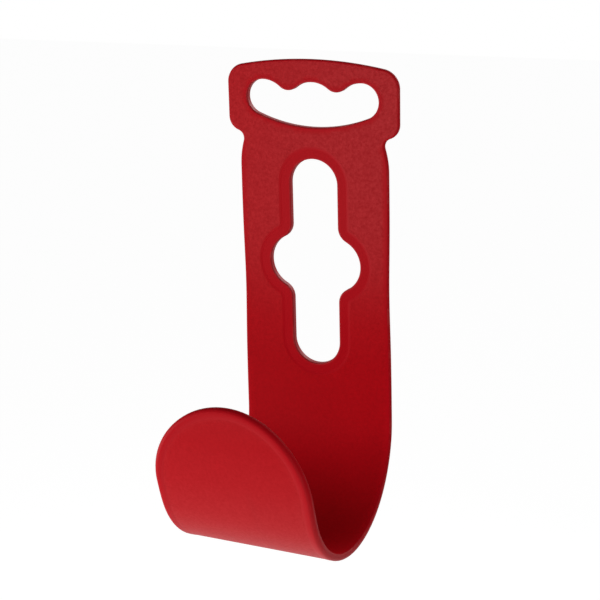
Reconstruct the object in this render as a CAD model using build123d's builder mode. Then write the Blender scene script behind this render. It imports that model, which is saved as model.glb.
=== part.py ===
from build123d import *
from math import atan2, cos, degrees, pi, radians, sin, sqrt, tan
import os

# A hanger for a hose, moulded in one piece: a grip head, a flat strap with a cross-shaped keyhole,
# and a J-shaped hook that ends in a full round lip.
# Frame: +Z is up, the strap's flat back lies in the plane y = 0 and faces +Y, towards the wall,
# the hook opens towards -Y, and the origin is the keyhole's centre on the back. Lengths are in mm.

# Wall and edges
wall = 3.5
outer_round = 2.3
inner_bevel = 0.6
keyhole_bevel = 0.7
grip_round = 1.3

# Keyhole: a tall slot crossed by two round arms, in a shallow recess
slot_width = 24.0
slot_length = 100.8
arm_span = 46.4
arm_radius = 13.1
keyhole_corner_radius = 7.6
recess_margin = 4.7
recess_depth = 0.4

# Grip slot above the keyhole, with three finger scallops along its upper edge
web_height = 14.7
grip_height = 21.1
grip_end_radius = 8.3
finger_radius = 13.2
knuckle_radius = 6.4
middle_finger_drop = 0.5

# Head round the grip slot
bar_height = 10.7
side_bar = 10.1
head_height = 33.0
head_crown_radius = 198.0
head_corner_radius = 9.0
head_foot_radius = 6.9
underside_slope = 21.5

# Strap: pinched below the head, then a little wider towards the hook
strap_width = 75.6
head_overhang = 5.5
neck_pinch = 2.7
neck_radius = 3.9
shoulder_drop = 9.4
shoulder_radius = 40.0
hook_flare = 0.6
flare_radius = 400.0

# Hook, measured on its outer face: a tight bend, then a lip on a much larger arc
strap_below_keyhole = 25.8
hook_radius = 47.6
bend_angle = 160.8
lip_radius = 146.0
lip_height = 84.2
lip_round_height = 41.0
lip_surplus = 12.0

# How far roundings and bevels may go: shares of the wall, of the head's underside and of the pinched stretch
outer_share = 0.66
inner_share = 0.24
opening_share = 0.4
foot_share = 0.57
shoulder_share = 0.6

# Tolerance for finding an edge or a corner by its place
near = 0.05

strap_half = strap_width / 2
head_half = strap_half + head_overhang
neck_half = strap_half - neck_pinch
hook_half = strap_half + hook_flare

grip_bottom = slot_length / 2 + web_height
finger_top = grip_bottom + grip_height
head_top = finger_top + bar_height
head_underside = head_top - head_height
neck_height = head_underside - (head_half - neck_half) * tan(radians(underside_slope))
shoulder_height = neck_height - shoulder_drop

bend_height = -slot_length / 2 - strap_below_keyhole
flare_height = bend_height + wall
hook_bottom = bend_height - hook_radius
foot = hook_bottom - wall
bend_end = bend_height - hook_radius * sin(radians(bend_angle))
lip_top = hook_bottom + lip_height
lip_shoulder = lip_top - lip_round_height
lip_sweep = degrees((lip_top + lip_surplus - bend_end) / lip_radius)


def fitting(radius, turn, room):
    """Corner radius, held so that its arc starts within the room beside the corner."""
    return min(radius, room / tan(turn / 2))


def facing_point(centre, radius, other):
    """Point of a circle that faces another point."""
    return centre + (other - centre).normalized() * radius


# Side line of the outer face, with y along x and z along y
with BuildLine() as outer_line:
    strap_line = Line((0, head_top + wall), (0, bend_height))
    bend = JernArc(strap_line @ 1, (0, -1), hook_radius, -bend_angle)
    JernArc(bend @ 1, bend % 1, lip_radius, -lip_sweep)


def depth_of(edge):
    """Distance of an edge's middle from the outer face."""
    middle = edge @ 0.5
    return outer_line.wire().distance_to(Vertex(middle.Y, middle.Z, 0))


# Corners of the front outline: the radius of each, by its height
side_top = head_top - head_crown_radius + sqrt(head_crown_radius**2 - head_half**2)
underside = (head_half - neck_half) / cos(radians(underside_slope))
pinched = sqrt(neck_pinch**2 + shoulder_drop**2)
foot_turn = pi / 2 - radians(underside_slope)
shoulder_turn = atan2(neck_pinch, shoulder_drop)
neck_turn = foot_turn + shoulder_turn
neck_room = min((1 - foot_share) * underside, (1 - shoulder_share) * pinched)
corner_radii = {
    side_top: head_corner_radius,
    head_underside: fitting(head_foot_radius, foot_turn, foot_share * underside),
    neck_height: fitting(neck_radius, neck_turn, neck_room),
    shoulder_height: fitting(shoulder_radius, shoulder_turn, shoulder_share * pinched),
    flare_height: flare_radius,
}

# Prisms of the strap's outline and of the lip's, which meet in the plane of the bend's axis
with BuildPart() as outline:
    with BuildSketch(Plane.XZ) as strap_outline:
        with BuildLine():
            TangentArc((0, head_top), (head_half, side_top), tangent=(1, 0))
            Polyline(
                (head_half, side_top),
                (head_half, head_underside),
                (neck_half, neck_height),
                (strap_half, shoulder_height),
                (hook_half, flare_height),
                (hook_half, foot),
                (0, foot),
            )
            mirror(about=Plane.YZ)
        make_face()
        for height, radius in corner_radii.items():
            corners = strap_outline.vertices().filter_by_position(Axis.Y, height - near, height + near)
            fillet(corners, radius)
    extrude(amount=hook_radius)
    with BuildSketch(Plane.XZ.offset(hook_radius)):
        with BuildLine():
            Polyline(
                (hook_half, lip_shoulder),
                (hook_half, foot),
                (-hook_half, foot),
                (-hook_half, lip_shoulder),
            )
            EllipticalCenterArc((0, lip_shoulder), hook_half, lip_round_height, arc_size=180)
        make_face()
    extrude(amount=2 * hook_radius)

# Keyhole, with the corners between slot and arms rounded
with BuildSketch() as keyhole:
    SlotOverall(slot_length, slot_width, rotation=90)
    arm_centre = arm_span / 2 - arm_radius
    with Locations((arm_centre, 0), (-arm_centre, 0)):
        Circle(arm_radius)
    slot_side = slot_width / 2 + near
    fillet(
        keyhole.vertices()
        .filter_by_position(Axis.X, -slot_side, slot_side)
        .filter_by_position(Axis.Y, -arm_radius, arm_radius),
        keyhole_corner_radius,
    )

# Grip slot: a chain of tangent arcs, from the middle scallop round one end to the lower edge
end_centre = Vector(head_half - side_bar - grip_end_radius, finger_top - grip_end_radius)
rise = end_centre.Y - grip_bottom
bottom_radius = (end_centre.X**2 + rise**2 - grip_end_radius**2) / (2 * (rise - grip_end_radius))
bottom_centre = Vector(0, grip_bottom + bottom_radius)
middle = Vector(0, finger_top - middle_finger_drop - finger_radius)
outer = Vector(end_centre.X, finger_top - finger_radius)
span = outer - middle
lift = sqrt((finger_radius + knuckle_radius) ** 2 - (span.length / 2) ** 2)
knuckle = middle + span / 2 + Vector(-span.Y, span.X).normalized() * lift
grip_points = [
    Vector(0, middle.Y + finger_radius),
    facing_point(middle, finger_radius, knuckle),
    facing_point(outer, finger_radius, knuckle),
    Vector(outer.X, finger_top),
    facing_point(bottom_centre, bottom_radius, end_centre),
    Vector(0, grip_bottom),
]
with BuildSketch() as grip_slot:
    with BuildLine():
        tangent = Vector(1, 0)
        for start, end in zip(grip_points, grip_points[1:]):
            arc = TangentArc(start, end, tangent=tangent)
            tangent = arc % 1
        mirror(about=Plane.YZ)
    make_face()

with BuildPart() as hose_hanger:
    # One wall, bent along the side line and trimmed to the front outline
    with BuildSketch(Plane.YZ):
        with BuildLine():
            add(outer_line.line)
            offset(amount=wall, side=Side.RIGHT)
        make_face()
    extrude(amount=head_half + wall, both=True)
    add(outline.part, mode=Mode.INTERSECT)

    # The long edges: a wide rounding on the outer face, a small bevel on the inner
    rim = hose_hanger.edges().filter_by(Axis.X, reverse=True).filter_by(Axis.Y, reverse=True)
    fillet([edge for edge in rim if depth_of(edge) < near], min(outer_round, outer_share * wall))
    rim = hose_hanger.edges().filter_by(Axis.X, reverse=True).filter_by(Axis.Y, reverse=True)
    chamfer([edge for edge in rim if depth_of(edge) > wall - near], min(inner_bevel, inner_share * wall))

    # Grip slot, rounded in front, where the fingers go in
    with BuildSketch(Plane.XZ):
        add(grip_slot.sketch)
    extrude(amount=2 * wall, mode=Mode.SUBTRACT)
    front = hose_hanger.faces().filter_by(Axis.Y).sort_by(Axis.Y)[0]
    fillet(front.inner_wires()[0].edges(), min(grip_round, opening_share * wall))

    # Keyhole in its recess, bevelled in front
    with BuildSketch(Plane.XZ):
        add(keyhole.sketch)
    extrude(amount=2 * wall, mode=Mode.SUBTRACT)
    with BuildSketch(Plane.XZ.offset(wall)):
        add(keyhole.sketch)
        offset(amount=recess_margin)
    extrude(amount=-recess_depth, mode=Mode.SUBTRACT)
    floor = hose_hanger.faces().filter_by(Axis.Y).sort_by(Axis.Y)[1]
    chamfer(floor.inner_wires()[0].edges(), min(keyhole_bevel, opening_share * (wall - recess_depth)))

hose_hanger.part.label = "hose_hanger"
os.makedirs("parts", exist_ok=True)
export_step(hose_hanger.part, "parts/hose_hanger.step")
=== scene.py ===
import bpy
import math
import numpy
from mathutils import Matrix, Vector
from mathutils.geometry import delaunay_2d_cdt


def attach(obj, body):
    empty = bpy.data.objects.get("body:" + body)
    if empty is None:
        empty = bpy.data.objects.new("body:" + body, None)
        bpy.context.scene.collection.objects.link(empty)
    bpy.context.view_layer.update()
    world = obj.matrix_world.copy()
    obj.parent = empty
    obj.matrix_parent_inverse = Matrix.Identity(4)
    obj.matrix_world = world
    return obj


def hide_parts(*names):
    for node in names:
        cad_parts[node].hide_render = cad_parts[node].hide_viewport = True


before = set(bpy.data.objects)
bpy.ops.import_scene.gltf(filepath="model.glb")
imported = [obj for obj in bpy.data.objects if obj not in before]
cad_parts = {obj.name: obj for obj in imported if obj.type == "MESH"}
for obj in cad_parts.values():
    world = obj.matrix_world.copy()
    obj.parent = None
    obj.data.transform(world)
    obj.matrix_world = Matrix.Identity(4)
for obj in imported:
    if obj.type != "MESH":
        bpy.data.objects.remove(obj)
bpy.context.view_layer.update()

scene = bpy.context.scene
scene.view_settings.view_transform = "Standard"
mm = 0.001

# camera, worked out from the photograph's perspective; lengths in millimetres
cameraView = {
    "azimuth": 25.35,
    "elevation": 16.88,
    "roll": -1.40,
    "distance": 707.85,  # from the keyhole's centre on the front face
    "targetDepth": 3.5,
    "focalPixels": 1486.5,
    "framePixels": 600,
    "targetPixel": (314.72, 263.56),
    "sensorWidth": 36.0,
    "clipRange": (50, 50000),
}


# unit vector towards the viewer, from degrees; the azimuth turns from the front to the right
def viewDirection(azimuth, elevation):
    azimuth, elevation = math.radians(azimuth), math.radians(elevation)
    level = math.cos(elevation)
    return Vector((math.sin(azimuth) * level, -math.cos(azimuth) * level, math.sin(elevation)))


def placeCamera():
    azimuth = math.radians(cameraView["azimuth"])
    roll = math.radians(cameraView["roll"])
    back = viewDirection(cameraView["azimuth"], cameraView["elevation"])
    right = Vector((math.cos(azimuth), math.sin(azimuth), 0))
    up = back.cross(right)
    across = math.cos(roll) * right + math.sin(roll) * up
    upward = -math.sin(roll) * right + math.cos(roll) * up
    distance = cameraView["distance"]
    scale = distance / cameraView["focalPixels"]
    half = cameraView["framePixels"] / 2
    x = (cameraView["targetPixel"][0] - half) * scale
    y = (half - cameraView["targetPixel"][1]) * scale
    target = Vector((0, -cameraView["targetDepth"], 0))
    location = target - x * across - y * upward + distance * back
    data = bpy.data.cameras.new("camera")
    data.sensor_width = cameraView["sensorWidth"]
    data.lens = cameraView["focalPixels"] / cameraView["framePixels"] * cameraView["sensorWidth"]
    data.clip_start, data.clip_end = [reach * mm for reach in cameraView["clipRange"]]
    camera = bpy.data.objects.new("camera", data)
    rotation = Matrix((across, upward, back)).transposed()
    camera.matrix_world = Matrix.Translation(location * mm) @ rotation.to_4x4()
    scene.collection.objects.link(camera)
    scene.camera = camera
    print("camera placed")


placeCamera()

# the moulded wall, in millimetres; heights are counted from the keyhole's centre
hanger = {
    "wall": 3.5,
    "outerRound": 2.3,
    "innerRound": 1.0,
    "strapHalf": 37.8,
    "headOverhang": 5.5,
    "neckPinch": 2.7,
    "neckRadius": 3.9,
    "shoulderDrop": 9.4,
    "shoulderRadius": 40.0,
    "hookFlare": 0.6,
    "flareRadius": 400.0,
    "waistDepth": 0.6,
    "waistHeight": -12.0,
    "waistReach": 24.0,
    "headHeight": 33.0,
    "crownRadius": 198.0,
    "cornerRadius": 9.0,
    "footRadius": 6.9,
    "undersideSlope": 21.5,
    "strapBelowKeyhole": 25.8,
    "bendRadius": 47.6,
    "bendAngle": 160.8,
    "lipRadius": 146.0,
    "lipHeight": 84.2,
    "lipRoundHeight": 41.0,
}
# how finely the wall is meshed: an arc below the radius smallArc gets as many points as one of that
# radius, and gridClearance is the share of the grid's spacing that stays free beside an outline
meshing = {
    "pointSpacing": 0.8,
    "smallArc": 4.0,
    "gridSpacing": 2.0,
    "gridClearance": 0.55,
    "tolerance": 1e-6,
    "supportInset": 0.25,
    "roundSteps": 8,
    "fewestSteps": 3,
}
keyhole = {
    "slotHalf": 12.0,
    "slotLength": 100.8,
    "armHalf": 23.2,
    "armRadius": 13.1,
    "cornerRadius": 7.6,
    "recessMargin": 4.7,
    "recessDepth": 0.24,
    "recessSlope": 1.1,
    "frontRound": 0.65,
    "backRound": 0.35,
}
grip = {
    "webHeight": 14.9,
    "height": 21.5,
    "barHeight": 10.1,
    "sideBar": 10.1,
    "endRadius": 8.3,
    "fingerRadius": 13.2,
    "knuckleRadius": 6.4,
    "middleDrop": 0.5,
    "frontRound": 0.8,
    "backRound": 0.35,
}
# the border of the hook's outer face: a faint step up from the field, then a soft rounding;
# it fades in between the two turns of the bend, in degrees
border = {
    "width": 4.6,
    "crease": 0.6,
    "step": 0.12,
    "roundWide": 2.0,
    "roundDeep": 1.8,
    "startTurn": 20,
    "fullTurn": 60,
}
# the grained field: the smooth bands beside it, and how much of the grain the trough and the hook's
# outer face keep
grainField = {
    "edgeBand": 2.0,
    "headBand": 0.8,
    "gripBand": 1.6,
    "lowerShare": 0.8,
    "lowerStations": (-60, 20),
    "outerShare": 0.6,
}
# the trough's smooth band gets a painted highlight, a little brighter: its middle and half width,
# counted from the rim, the stations between which it fades out, and how much brighter it is
paintedTroughHighlight = {
    "middle": 2.3,
    "reach": 1.9,
    "stations": (-80, -45),
    "tone": 0.24,
}
# a painted sheen, laid on as a thin coat: its weight at stations along each face and along the long
# rim, and as painted highlights in the border's crease and on the rims of the openings; a lean of 0.35
# makes it 35 percent stronger at the right edge, and the smooth bands keep a share of it
paintedSheen = {
    "innerStations": (-50, -30, -15, 0, 20, 60, 80),
    "innerWeights": (0.008, 0.030, 0.076, 0.138, 0.175, 0.198, 0.208),
    "outerStations": (-245, -225, -210, -195, -150, -100),
    "outerWeights": (0.075, 0.16, 0.28, 0.38, 0.38, 0.14),
    "innerLean": 0.35,
    "outerLean": 0.15,
    "innerBandShare": 0.35,
    "outerBandShare": 0.7,
    "bandFade": 0.3,
    "creaseWeight": 0.13,
    "creaseReach": 0.7,
    "edgeStations": (-240, -215, -190, -100),
    "edgeWeights": (0.0, 0.16, 0.26, 0.12),
    "openingWeight": 0.42,
    "rimWidth": 0.9,
}

# heights that follow from the sizes
gripBottom = keyhole["slotLength"] / 2 + grip["webHeight"]
fingerTop = gripBottom + grip["height"]
headTop = fingerTop + grip["barHeight"]
headHalf = hanger["strapHalf"] + hanger["headOverhang"]
neckHalf = hanger["strapHalf"] - hanger["neckPinch"]
hookHalf = hanger["strapHalf"] + hanger["hookFlare"]
headUnderside = headTop - hanger["headHeight"]
neckHeight = headUnderside - (headHalf - neckHalf) * math.tan(math.radians(hanger["undersideSlope"]))
shoulderHeight = neckHeight - hanger["shoulderDrop"]
bendHeight = -keyhole["slotLength"] / 2 - hanger["strapBelowKeyhole"]
flareHeight = bendHeight + hanger["wall"]

# the side line: down the strap, round the bend and up the lip; a station is a height on the strap,
# and runs on below the bend's start as length along the outer face
bendTurn = math.radians(hanger["bendAngle"])
bendCentre = Vector((-hanger["bendRadius"], bendHeight))
bendEndStation = bendHeight - hanger["bendRadius"] * bendTurn
bendEndDirection = Vector((math.cos(bendTurn), -math.sin(bendTurn)))
bendEnd = bendCentre + hanger["bendRadius"] * bendEndDirection
lipCentre = bendEnd - hanger["lipRadius"] * bendEndDirection
lipTop = bendHeight - hanger["bendRadius"] + hanger["lipHeight"]
lipShoulder = lipTop - hanger["lipRoundHeight"]
lipShoulderStation = bendEndStation - (lipShoulder - bendEnd.y)


def smoothStep(share):
    share = min(1.0, max(0.0, share))
    return share * share * (3 - 2 * share)


# depth is counted from the outer face, which is the back of the strap; on the lip, points that share
# a station go from lying square to the wall to lying at one height
def placeOnWall(x, station, depth):
    if station >= bendHeight:
        y, height = -depth, station
    elif station >= bendEndStation:
        angle = (bendHeight - station) / hanger["bendRadius"]
        reach = hanger["bendRadius"] - depth
        y = bendCentre.x + reach * math.cos(angle)
        height = bendCentre.y - reach * math.sin(angle)
    else:
        outerHeight = bendEnd.y + bendEndStation - station
        slant = (lipCentre.y - outerHeight) / hanger["lipRadius"]
        radialHeight = lipCentre.y - (hanger["lipRadius"] - depth) * slant
        blend = smoothStep((outerHeight - bendEnd.y) / (lipShoulder - bendEnd.y))
        height = radialHeight + (outerHeight - radialHeight) * blend
        y = lipCentre.x - math.sqrt((hanger["lipRadius"] - depth) ** 2 - (height - lipCentre.y) ** 2)
    return (x * mm, y * mm, height * mm)


def hookShare(station):  # 0 on the strap, 1 on the hook
    turn = math.degrees((bendHeight - station) / hanger["bendRadius"])
    return smoothStep((turn - border["startTurn"]) / (border["fullTurn"] - border["startTurn"]))


def arcPoints(centre, radius, start, end):  # angles in radians, the end point left out
    length = abs(end - start) * max(radius, meshing["smallArc"])
    count = max(2, math.ceil(length / meshing["pointSpacing"]))
    turns = [start + (end - start) * i / count for i in range(count)]
    return [Vector((centre[0] + radius * math.cos(a), centre[1] + radius * math.sin(a))) for a in turns]


def linePoints(start, end):  # the end point left out
    start, end = Vector(start), Vector(end)
    count = max(1, math.ceil((end - start).length / meshing["pointSpacing"]))
    return [start.lerp(end, i / count) for i in range(count)]


def roundedCorner(before, corner, after, radius):  # returns the arc's start, its points and its end
    before, corner, after = Vector(before), Vector(corner), Vector(after)
    inward = (before - corner).normalized()
    outward = (after - corner).normalized()
    half = inward.angle(outward) / 2
    reach = radius / math.tan(half)
    centre = corner + (inward + outward).normalized() * radius / math.sin(half)
    first, last = corner + inward * reach, corner + outward * reach
    start = math.atan2(first.y - centre.y, first.x - centre.x)
    end = math.atan2(last.y - centre.y, last.x - centre.x)
    end = start + math.remainder(end - start, 2 * math.pi)
    return first, arcPoints(centre, radius, start, end), last


def roundedChain(corners):  # corners hold a point and a radius; the first and last have none
    points = []
    here = Vector(corners[0][0])
    for i in range(1, len(corners) - 1):
        before, corner, after = [place for place, _ in corners[i - 1:i + 2]]
        first, arc, last = roundedCorner(before, corner, after, corners[i][1])
        points += linePoints(here, first) + arc
        here = last
    return points + linePoints(here, corners[-1][0])


def withWaist(point):  # the strap draws in a little beside the keyhole
    away = (point.y - hanger["waistHeight"]) / hanger["waistReach"]
    return Vector((point.x - hanger["waistDepth"] * math.exp(-away * away), point.y))


def mirroredLoop(half, last):  # half runs down the right side from the middle line to the last point
    left = [Vector((-p.x, p.y)) for p in reversed(half[1:])]
    return half + [Vector(last)] + left


def frontOutline():
    crown = hanger["crownRadius"]
    corner = hanger["cornerRadius"]
    crownCentre = Vector((0, headTop - crown))
    cornerX = headHalf - corner
    cornerCentre = Vector((cornerX, crownCentre.y + math.sqrt((crown - corner) ** 2 - cornerX**2)))
    turn = math.atan2(cornerCentre.y - crownCentre.y, cornerCentre.x)
    half = arcPoints(crownCentre, crown, math.pi / 2, turn)
    half += arcPoints(cornerCentre, corner, turn, 0)
    side = roundedChain([
        ((headHalf, cornerCentre.y), 0),
        ((headHalf, headUnderside), hanger["footRadius"]),
        ((neckHalf, neckHeight), hanger["neckRadius"]),
        ((hanger["strapHalf"], shoulderHeight), hanger["shoulderRadius"]),
        ((hookHalf, flareHeight), hanger["flareRadius"]),
        ((hookHalf, lipShoulderStation), 0),
    ])
    half += [withWaist(point) for point in side]
    rise = hanger["lipRoundHeight"]
    steps = math.ceil(0.5 * math.pi * rise / meshing["pointSpacing"])
    for i in range(steps):
        angle = 0.5 * math.pi * i / steps
        half.append(Vector((hookHalf * math.cos(angle), lipShoulderStation - rise * math.sin(angle))))
    return mirroredLoop(half, (0, lipShoulderStation - rise))


def keyholeOutline():
    slot, arm, corner = keyhole["slotHalf"], keyhole["armRadius"], keyhole["cornerRadius"]
    endHeight = keyhole["slotLength"] / 2 - slot
    armX = keyhole["armHalf"] - arm
    cornerX = slot + corner
    cornerZ = math.sqrt((arm + corner) ** 2 - (cornerX - armX) ** 2)
    turn = math.atan2(cornerZ, cornerX - armX)
    half = arcPoints((0, endHeight), slot, math.pi / 2, 0)
    half += linePoints((slot, endHeight), (slot, cornerZ))
    half += arcPoints((cornerX, cornerZ), corner, math.pi, math.pi + turn)
    half += arcPoints((armX, 0), arm, turn, -turn)
    half += arcPoints((cornerX, -cornerZ), corner, math.pi - turn, math.pi)
    half += linePoints((slot, -cornerZ), (slot, -endHeight))
    half += arcPoints((0, -endHeight), slot, 0, -math.pi / 2)
    return mirroredLoop(half, (0, -endHeight - slot))


def gripOutline():
    finger, knuckle, end = grip["fingerRadius"], grip["knuckleRadius"], grip["endRadius"]
    endCentre = Vector((headHalf - grip["sideBar"] - end, fingerTop - end))
    rise = endCentre.y - gripBottom
    floorRadius = (endCentre.x**2 + rise**2 - end**2) / (2 * (rise - end))
    floorCentre = Vector((0, gripBottom + floorRadius))
    middle = Vector((0, fingerTop - grip["middleDrop"] - finger))
    outer = Vector((endCentre.x, fingerTop - finger))
    across = outer - middle
    lift = math.sqrt((finger + knuckle) ** 2 - (across.length / 2) ** 2)
    knuckleCentre = middle + across / 2 + Vector((-across.y, across.x)).normalized() * lift

    def direction(origin, target):
        return math.atan2(target.y - origin.y, target.x - origin.x)

    fromMiddle = direction(middle, knuckleCentre)
    fromOuter = direction(outer, knuckleCentre)
    fromFloor = direction(floorCentre, endCentre)
    half = arcPoints(middle, finger, math.pi / 2, fromMiddle)
    half += arcPoints(knuckleCentre, knuckle, fromMiddle - math.pi, fromOuter - math.pi)
    half += arcPoints(outer, finger, fromOuter, math.pi / 2)
    half += arcPoints(endCentre, end, math.pi / 2, fromFloor)
    half += arcPoints(floorCentre, floorRadius, fromFloor, -math.pi / 2)
    return mirroredLoop(half, (0, gripBottom))


def withNormals(points, intoLoop):  # points run clockwise; the normal points into the wall
    loop = []
    for i, point in enumerate(points):
        along = (points[(i + 1) % len(points)] - points[i - 1]).normalized()
        normal = Vector((along.y, -along.x))
        loop.append((point, normal if intoLoop else -normal))
    return loop


def gapTo(outline, spots):  # distance of each spot from a closed outline
    best = numpy.full(len(spots), numpy.inf)
    for a, b in zip(outline, numpy.roll(outline, -1, axis=0)):
        along = b - a
        share = numpy.clip((spots - a) @ along / (along @ along), 0, 1)
        best = numpy.minimum(best, numpy.linalg.norm(spots - a - share[:, None] * along, axis=1))
    return best


def insideLoop(outline, spots):
    inside = numpy.zeros(len(spots), bool)
    for a, b in zip(outline, numpy.roll(outline, -1, axis=0)):
        if a[1] != b[1]:
            level = (a[1] > spots[:, 1]) != (b[1] > spots[:, 1])
            crossing = a[0] + (b[0] - a[0]) * (spots[:, 1] - a[1]) / (b[1] - a[1])
            inside ^= level & (spots[:, 0] < crossing)
    return inside


def insideSheet(outlines, spots):
    inside = insideLoop(outlines[0], spots)
    for hole in outlines[1:]:
        inside &= ~insideLoop(hole, spots)
    return inside


class WallMesh:
    def __init__(self):
        self.points = []
        self.flat = []  # x, station and depth of each point
        self.faces = []

    def addPoint(self, x, station, depth):
        self.points.append(placeOnWall(x, station, depth))
        self.flat.append((x, station, depth))
        return len(self.points) - 1

    def addProfile(self, loop, profile, hookProfile, turned):  # an inset and a depth for each ring
        shares = [hookShare(point.y) for point, _ in loop]
        rings = []
        for onStrap, onHook in zip(profile, hookProfile):
            ring = []
            for (point, normal), share in zip(loop, shares):
                inset, depth = [a + (b - a) * share for a, b in zip(onStrap, onHook)]
                spot = point + normal * inset
                ring.append(self.addPoint(spot.x, spot.y, depth))
            rings.append(ring)
        count = len(loop)
        for ringA, ringB in zip(rings, rings[1:]):
            for i in range(count):
                j = (i + 1) % count
                face = (ringA[i], ringA[j], ringB[j], ringB[i])
                self.faces.append(face[::-1] if turned else face)
        return rings

    # the first border is the sheet's outside, the others are its holes
    def fillSheet(self, borders, depth, hookDepth, turned):
        flat = numpy.array(self.flat)[:, :2]
        outlines = [flat[ring] for ring in borders]
        known = [i for ring in borders for i in ring]
        edges = []
        for ring in borders:
            start = len(edges)
            edges += [(start + i, start + (i + 1) % len(ring)) for i in range(len(ring))]
        spacing = meshing["gridSpacing"]
        low, high = outlines[0].min(axis=0), outlines[0].max(axis=0)
        counts = [math.ceil(reach / spacing) + 1 for reach in high - low]
        grid = numpy.meshgrid(*[numpy.linspace(*stretch) for stretch in zip(low, high, counts)])
        spots = numpy.column_stack([axis.ravel() for axis in grid])
        spots = spots[insideSheet(outlines, spots)]
        gap = numpy.min([gapTo(outline, spots) for outline in outlines], axis=0)
        for x, station in spots[gap > meshing["gridClearance"] * spacing]:
            known.append(self.addPoint(x, station, depth + (hookDepth - depth) * hookShare(station)))
        flat = numpy.array(self.flat)[:, :2]
        places = [Vector(place) for place in flat[known]]
        _, _, triangles, origins, _, _ = delaunay_2d_cdt(places, edges, [], 1, meshing["tolerance"])
        triangles = [[known[origins[i][0]] for i in triangle] for triangle in triangles]
        kept = insideSheet(outlines, flat[numpy.array(triangles)].mean(axis=1))
        for triangle, inside in zip(triangles, kept):
            if inside:
                self.faces.append(triangle[::-1] if turned else triangle)


def quarterTurn(wide, deep):  # inset and drop of points along a quarter of an ellipse
    steps = max(meshing["fewestSteps"], round(meshing["roundSteps"] * min(1.0, deep)))
    turns = [0.5 * math.pi * i / steps for i in range(steps + 1)]
    return [(wide * (1 - math.sin(a)), deep * (1 - math.cos(a))) for a in turns]


def roundedRim(wide, deep, innerRound, innerFace):  # rings from the outer face to the inner face
    support = meshing["supportInset"]
    lift = min(support, (innerFace - deep - innerRound) / 4)
    rim = [(wide + support, 0.0)] + quarterTurn(wide, deep)
    rim += [(0.0, deep + lift), (0.0, innerFace - innerRound - lift)]
    rim += [(inset, innerFace - drop) for inset, drop in reversed(quarterTurn(innerRound, innerRound))]
    return rim + [(innerRound + support, innerFace)]


def addLayer(mesh, name, values):
    layer = mesh.attributes.new(name, "FLOAT", "POINT")
    layer.data.foreach_set("value", numpy.asarray(values, numpy.float32))


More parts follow.
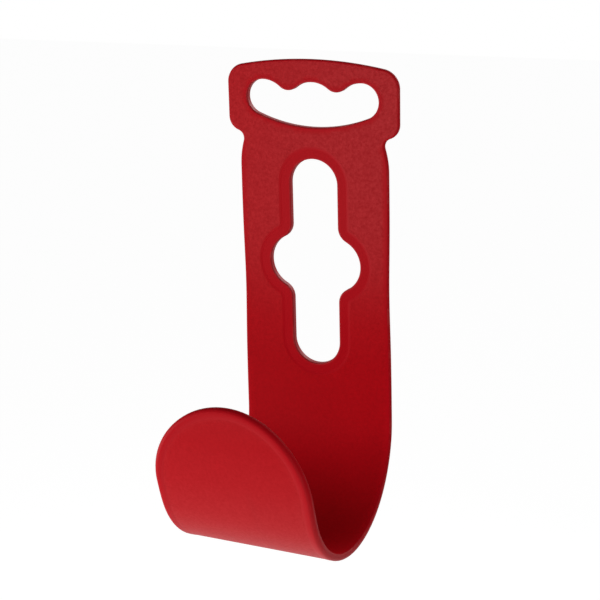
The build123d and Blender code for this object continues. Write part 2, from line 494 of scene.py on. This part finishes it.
def buildHanger():
    wall = hanger["wall"]
    support = meshing["supportInset"]
    outline, key, slot = frontOutline(), keyholeOutline(), gripOutline()
    shell = WallMesh()

    # the long rim, with the border of the hook's outer face, whose field lies a step lower
    width, step = border["width"], border["step"]
    creaseInset = width - border["crease"]
    strapRim = [(width + support, 0.0), (width, 0.0), (creaseInset, 0.0)]
    strapRim += roundedRim(hanger["outerRound"], hanger["outerRound"], hanger["innerRound"], wall)
    hookRim = [(width + support, step), (width, step), (creaseInset, 0.0)]
    hookRim += roundedRim(border["roundWide"], border["roundDeep"], hanger["innerRound"], wall)
    rimRings = shell.addProfile(withNormals(outline, True), strapRim, hookRim, False)

    # the grip slot's rim
    gripRim = roundedRim(grip["backRound"], grip["backRound"], grip["frontRound"], wall)
    gripRings = shell.addProfile(withNormals(slot, False), gripRim, gripRim, True)

    # the keyhole's rim, its recess and the recess's sloped edge
    floor = wall - keyhole["recessDepth"]
    margin = keyhole["recessMargin"]
    fieldStart = margin + keyhole["recessSlope"]
    keyRim = roundedRim(keyhole["backRound"], keyhole["backRound"], keyhole["frontRound"], floor)
    keyRim += [(margin - support, floor), (margin, floor)]
    keyRim += [(fieldStart, wall), (fieldStart + support, wall)]
    keyRings = shell.addProfile(withNormals(key, False), keyRim, keyRim, True)

    shell.fillSheet([rimRings[0], gripRings[0], keyRings[0]], 0.0, step, False)
    shell.fillSheet([rimRings[-1], gripRings[-1], keyRings[-1]], wall, wall, True)

    mesh = bpy.data.meshes.new("hangerShell")
    mesh.from_pydata(shell.points, [], shell.faces)
    mesh.polygons.foreach_set("use_smooth", [True] * len(mesh.polygons))

    # layers for the material; lengths in metres
    x, station, depth = numpy.array(shell.flat).T
    spots = numpy.column_stack((x, station))
    rimGap, keyGap, slotGap = [gapTo(numpy.array(loop), spots) for loop in (outline, key, slot)]
    outside = depth < wall / 2
    onHook = numpy.array([hookShare(s) for s in station]) * outside
    bands = (grainField["edgeBand"], grainField["headBand"])
    band = numpy.interp(station, (shoulderHeight, neckHeight), bands)
    band += onHook * (border["width"] - band)
    keyBand = numpy.where(outside, grainField["edgeBand"], fieldStart)
    field = numpy.min([rimGap - band, keyGap - keyBand, slotGap - grainField["gripBand"]], axis=0)
    nearest = numpy.min([rimGap, keyGap, slotGap], axis=0)
    addLayer(mesh, "fieldGap", field * mm)  # how far a point lies inside the grained field
    addLayer(mesh, "edgeGap", numpy.maximum(nearest, numpy.minimum(depth, wall - depth)) * mm)
    innerShare = numpy.interp(station, grainField["lowerStations"], (grainField["lowerShare"], 1))
    outerShare = 1 - onHook * (1 - grainField["outerShare"])
    addLayer(mesh, "grainShare", numpy.where(outside, outerShare, innerShare))
    addLayer(mesh, "across", x * mm)
    addLayer(mesh, "along", station * mm)
    addLayer(mesh, "outerSide", 1.0 * outside)
    # a painted highlight on the trough's band beside the rim
    paintedHighlightShare = numpy.interp(abs(rimGap - paintedTroughHighlight["middle"]), (0, paintedTroughHighlight["reach"]), (1, 0))
    paintedHighlightShare *= numpy.interp(station, paintedTroughHighlight["stations"], (1, 0))
    addLayer(mesh, "paintedTroughHighlight", paintedHighlightShare * ~outside)
    # painted sheen on each face, and painted highlights in the border's crease and on the rims
    innerPaintedSheen = numpy.interp(station, paintedSheen["innerStations"], paintedSheen["innerWeights"])
    outerPaintedSheen = numpy.interp(station, paintedSheen["outerStations"], paintedSheen["outerWeights"])
    innerPaintedSheen *= 1 + paintedSheen["innerLean"] * x / hanger["strapHalf"]
    outerPaintedSheen *= 1 + paintedSheen["outerLean"] * x / hanger["strapHalf"]
    facePaintedSheen = numpy.where(outside, outerPaintedSheen, innerPaintedSheen)
    bandShare = numpy.where(outside, paintedSheen["outerBandShare"], paintedSheen["innerBandShare"])
    inField = numpy.interp(field, (-paintedSheen["bandFade"], paintedSheen["bandFade"]), (0, 1))
    facePaintedSheen *= bandShare + (1 - bandShare) * inField
    fromCrease = abs(rimGap - border["width"] + 0.5 * border["crease"])
    onCrease = numpy.interp(fromCrease, (0, paintedSheen["creaseReach"]), (1, 0))
    facePaintedSheen += paintedSheen["creaseWeight"] * onHook * onCrease
    onRim = numpy.interp(nearest, (0, paintedSheen["rimWidth"]), (1, 0))
    edgePaintedSheen = numpy.interp(station, paintedSheen["edgeStations"], paintedSheen["edgeWeights"])
    rimPaintedSheen = numpy.where(nearest < rimGap, paintedSheen["openingWeight"], edgePaintedSheen)
    addLayer(mesh, "paintedSheen", facePaintedSheen + (rimPaintedSheen - facePaintedSheen) * onRim)

    piece = bpy.data.objects.new("hangerShell", mesh)
    scene.collection.objects.link(piece)
    print("hanger built:", len(mesh.vertices), "points,", len(mesh.polygons), "faces")
    return piece


shell = buildHanger()
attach(shell, "root")
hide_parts("hose_hanger")

# the red plastic: smooth bands, a grained field with a painted sheen and painted shade, and light wear;
# sizes in metres
plastic = {
    "bandColour": (0.344, 0.0022, 0.0062, 1.0),
    "fieldColour": (0.343, 0.0020, 0.0052, 1.0),
    "wearColour": (0.47, 0.070, 0.065, 1.0),
    "bandRoughness": 0.42,
    "fieldRoughness": 0.50,
    "roughnessSpread": 0.08,
    "specularLevel": 0.012,
    "paintedSheenRoughness": 0.50,
    "noiseRoughness": 0.55,
    "fieldFade": 0.0003,
    "grainSize": 0.0013,
    "fineGrainSize": 0.0006,
    "fineShare": 0.5,
    "grainDetail": 1.0,
    "grainDepth": 0.000035,
    "grainShade": 0.40,
    "grainInPaintedSheen": 1.2,
    "upperPaintedShade": 0.30,
    "cloudSize": 0.022,
    "cloudShade": 0.035,
    "cloudDetail": 2.0,
    "wearWidth": 0.0009,
    "wearCore": 0.2,
    "wearPatch": 0.005,
    "wearPatchRise": 0.18,
    "wearDetail": 4.0,
    "wearShare": 0.35,
    "wearRoughness": 0.2,
    "markCore": 0.2,
    "streakRise": (-0.2, 0.15),
    "streakDetail": 2.0,
}
# soft marks, in millimetres: place across and along the wall, half sizes and turn, how much paler
# or darker, and the size of the streaks in it
marks = [
    {"place": (-4.6, -234.1), "size": (4.5, 7.0), "turn": -30, "shade": 0.05, "streakSize": 1.2},
    {"place": (10.0, -208.0), "size": (3.2, 26.0), "turn": -8, "shade": -0.045, "streakSize": 3.0},
]


def addNode(tree, kind, inputs=None, **settings):
    node = tree.nodes.new(kind)
    for name, value in settings.items():
        setattr(node, name, value)
    for name, value in (inputs or {}).items():
        if isinstance(value, bpy.types.NodeSocket):
            tree.links.new(value, node.inputs[name])
        else:
            node.inputs[name].default_value = value
    return node


def calc(tree, operation, first, second):
    return addNode(tree, "ShaderNodeMath", {0: first, 1: second}, operation=operation).outputs[0]


def ramp(tree, value, low, high, toLow=0.0, toHigh=1.0):
    inputs = {"Value": value, "From Min": low, "From Max": high, "To Min": toLow, "To Max": toHigh}
    node = addNode(tree, "ShaderNodeMapRange", inputs, interpolation_type="SMOOTHSTEP")
    return node.outputs["Result"]


def layerOf(tree, name):
    return addNode(tree, "ShaderNodeAttribute", attribute_name=name).outputs["Fac"]


def noiseOf(tree, place, size, detail):  # centred on zero
    roughness = plastic["noiseRoughness"]
    inputs = {"Vector": place, "Scale": 1 / size, "Detail": detail, "Roughness": roughness}
    node = addNode(tree, "ShaderNodeTexNoise", inputs)
    return calc(tree, "SUBTRACT", node.outputs["Fac"], 0.5)


def mixedColour(tree, share, first, second):
    return addNode(tree, "ShaderNodeMix", {0: share, 6: first, 7: second}, data_type="RGBA").outputs[2]


def makeRedPlastic():
    material = bpy.data.materials.new("redPlastic")
    material.use_nodes = True
    tree = material.node_tree
    shader = tree.nodes["Principled BSDF"]
    place = addNode(tree, "ShaderNodeTexCoord").outputs["Object"]
    field = ramp(tree, layerOf(tree, "fieldGap"), -plastic["fieldFade"], plastic["fieldFade"])
    amount = calc(tree, "MULTIPLY", field, layerOf(tree, "grainShare"))

    # grain, in height and in shade
    coarse = noiseOf(tree, place, plastic["grainSize"], plastic["grainDetail"])
    fine = noiseOf(tree, place, plastic["fineGrainSize"], plastic["grainDetail"])
    fine = calc(tree, "MULTIPLY", fine, plastic["fineShare"])
    grain = calc(tree, "MULTIPLY", calc(tree, "ADD", coarse, fine), amount)
    inputs = {"Height": grain, "Distance": plastic["grainDepth"], "Strength": 1.0}
    bump = addNode(tree, "ShaderNodeBump", inputs)
    cloud = noiseOf(tree, place, plastic["cloudSize"], plastic["cloudDetail"])
    shade = calc(tree, "MULTIPLY", grain, plastic["grainShade"])
    shade = calc(tree, "ADD", shade, calc(tree, "MULTIPLY", cloud, plastic["cloudShade"]))
    # painted highlight: the trough's band beside the rim is made brighter
    paintedHighlightTone = calc(tree, "MULTIPLY", layerOf(tree, "paintedTroughHighlight"), paintedTroughHighlight["tone"])
    shade = calc(tree, "ADD", shade, paintedHighlightTone)
    # painted shade: the inner side's colour is darker where the painted sheen is strong, the upper
    # field most
    innerSide = calc(tree, "SUBTRACT", 1.0, layerOf(tree, "outerSide"))
    paintedShadeShare = calc(tree, "MULTIPLY", layerOf(tree, "paintedSheen"), innerSide)
    shade = calc(tree, "SUBTRACT", shade, calc(tree, "MULTIPLY", paintedShadeShare, plastic["upperPaintedShade"]))

    # soft marks from handling
    across, along = layerOf(tree, "across"), layerOf(tree, "along")
    flatPlace = addNode(tree, "ShaderNodeCombineXYZ", {"X": across, "Y": along}).outputs["Vector"]
    for mark in marks:
        x, station = mark["place"]
        inputs = {
            "Vector": flatPlace,
            "Location": (x * mm, station * mm, 0),
            "Rotation": (0, 0, math.radians(mark["turn"])),
            "Scale": (mark["size"][0] * mm, mark["size"][1] * mm, 1),
        }
        spot = addNode(tree, "ShaderNodeMapping", inputs, vector_type="TEXTURE").outputs["Vector"]
        reach = addNode(tree, "ShaderNodeVectorMath", {0: spot}, operation="LENGTH").outputs["Value"]
        streaks = noiseOf(tree, spot, mark["streakSize"] / mark["size"][0], plastic["streakDetail"])
        streaks = ramp(tree, streaks, *plastic["streakRise"])
        cover = calc(tree, "MULTIPLY", ramp(tree, reach, 1.0, plastic["markCore"]), streaks)
        cover = calc(tree, "MULTIPLY", cover, layerOf(tree, "outerSide"))
        shade = calc(tree, "ADD", shade, calc(tree, "MULTIPLY", cover, mark["shade"]))

    # colour, with wear along the edges
    wearWidth = plastic["wearWidth"]
    edge = ramp(tree, layerOf(tree, "edgeGap"), wearWidth, plastic["wearCore"] * wearWidth)
    patch = noiseOf(tree, place, plastic["wearPatch"], plastic["wearDetail"])
    patch = ramp(tree, patch, 0.0, plastic["wearPatchRise"])
    wear = calc(tree, "MULTIPLY", calc(tree, "MULTIPLY", edge, patch), plastic["wearShare"])
    colour = mixedColour(tree, field, plastic["bandColour"], plastic["fieldColour"])
    tone = calc(tree, "ADD", shade, 1.0)
    colour = addNode(tree, "ShaderNodeHueSaturation", {"Color": colour, "Value": tone}).outputs["Color"]
    colour = mixedColour(tree, wear, colour, plastic["wearColour"])
    tree.links.new(colour, shader.inputs["Base Color"])

    # roughness follows the bands, the clouds and the wear
    rough = ramp(tree, field, 0.0, 1.0, plastic["bandRoughness"], plastic["fieldRoughness"])
    rough = calc(tree, "ADD", rough, calc(tree, "MULTIPLY", cloud, plastic["roughnessSpread"]))
    rough = calc(tree, "ADD", rough, calc(tree, "MULTIPLY", wear, plastic["wearRoughness"]))
    tree.links.new(rough, shader.inputs["Roughness"])

    # the painted sheen is a rough coat, broken up by the grain
    paintedSheenTone = calc(tree, "ADD", calc(tree, "MULTIPLY", grain, plastic["grainInPaintedSheen"]), 1.0)
    coat = calc(tree, "MULTIPLY", layerOf(tree, "paintedSheen"), paintedSheenTone)
    tree.links.new(coat, shader.inputs["Coat Weight"])
    tree.links.new(bump.outputs["Normal"], shader.inputs["Normal"])
    shader.inputs["Coat Roughness"].default_value = plastic["paintedSheenRoughness"]
    shader.inputs["Specular IOR Level"].default_value = plastic["specularLevel"]
    print("red plastic made")
    return material


shell.data.materials.append(makeRedPlastic())

# plain pale floor and soft light, in metres; a lamp's strength of 1 lights a face turned to it fully
studio = {
    "floorHeight": -0.75,
    "floorSize": 12.0,
    "floorColour": (0.86, 0.86, 0.86, 1.0),
    "floorSeenColour": (0.25, 0.25, 0.25, 1.0),
    "floorGlow": 0.93,
    "worldStrength": 0.2,
    "lampDistance": 0.9,
    "lampSize": 0.5,
    "lampAim": (0, -0.03, -0.02),
}
lamps = {  # azimuth from the front to the right, elevation and strength
    "leftLamp": (-60, -15, 1.0),
    "frontLamp": (-30, -15, 0.19),
    "lowLamp": (0, -45, 0.10),
    "rightLamp": (30, -15, 0.29),
    "sideLamp": (90, 30, 0.22),
    "backLamp": (170, 25, 0.5),
}


def seenDirectly(tree):  # 1 for camera, glossy and transmission rays
    path = addNode(tree, "ShaderNodeLightPath").outputs
    seen = calc(tree, "MAXIMUM", path["Is Camera Ray"], path["Is Glossy Ray"])
    return calc(tree, "MAXIMUM", seen, path["Is Transmission Ray"])


def buildStudio():
    edge = studio["floorSize"] / 2
    height = studio["floorHeight"]
    mesh = bpy.data.meshes.new("floor")
    corners = [(-edge, -edge), (edge, -edge), (edge, edge), (-edge, edge)]
    mesh.from_pydata([(x, y, height) for x, y in corners], [], [(0, 1, 2, 3)])
    floor = bpy.data.objects.new("floor", mesh)
    scene.collection.objects.link(floor)

    material = bpy.data.materials.new("paleFloor")
    material.use_nodes = True
    tree = material.node_tree
    shader = tree.nodes["Principled BSDF"]
    shader.inputs["Roughness"].default_value = 1.0
    shader.inputs["Specular IOR Level"].default_value = 0.0
    shader.inputs["Emission Color"].default_value = (1, 1, 1, 1)
    seen = seenDirectly(tree)
    colour = mixedColour(tree, seen, studio["floorColour"], studio["floorSeenColour"])
    tree.links.new(colour, shader.inputs["Base Color"])
    glow = calc(tree, "MULTIPLY", seen, studio["floorGlow"])
    tree.links.new(glow, shader.inputs["Emission Strength"])
    mesh.materials.append(material)

    world = bpy.data.worlds.new("studio")
    scene.world = world
    world.use_nodes = True
    tree = world.node_tree
    background = tree.nodes["Background"]
    background.inputs["Color"].default_value = (1, 1, 1, 1)
    glow = ramp(tree, seenDirectly(tree), 0.0, 1.0, studio["worldStrength"], 1.0)
    tree.links.new(glow, background.inputs["Strength"])

    reach = studio["lampDistance"]
    for name, (azimuth, elevation, strength) in lamps.items():
        fromSide = viewDirection(azimuth, elevation)
        data = bpy.data.lights.new(name, "AREA")
        data.size = studio["lampSize"]
        data.energy = strength * (math.pi * reach) ** 2
        source = bpy.data.objects.new(name, data)
        source.location = Vector(studio["lampAim"]) + fromSide * reach
        source.rotation_euler = fromSide.to_track_quat("Z", "Y").to_euler()
        source.visible_camera = False
        scene.collection.objects.link(source)
    print("studio built")


buildStudio()
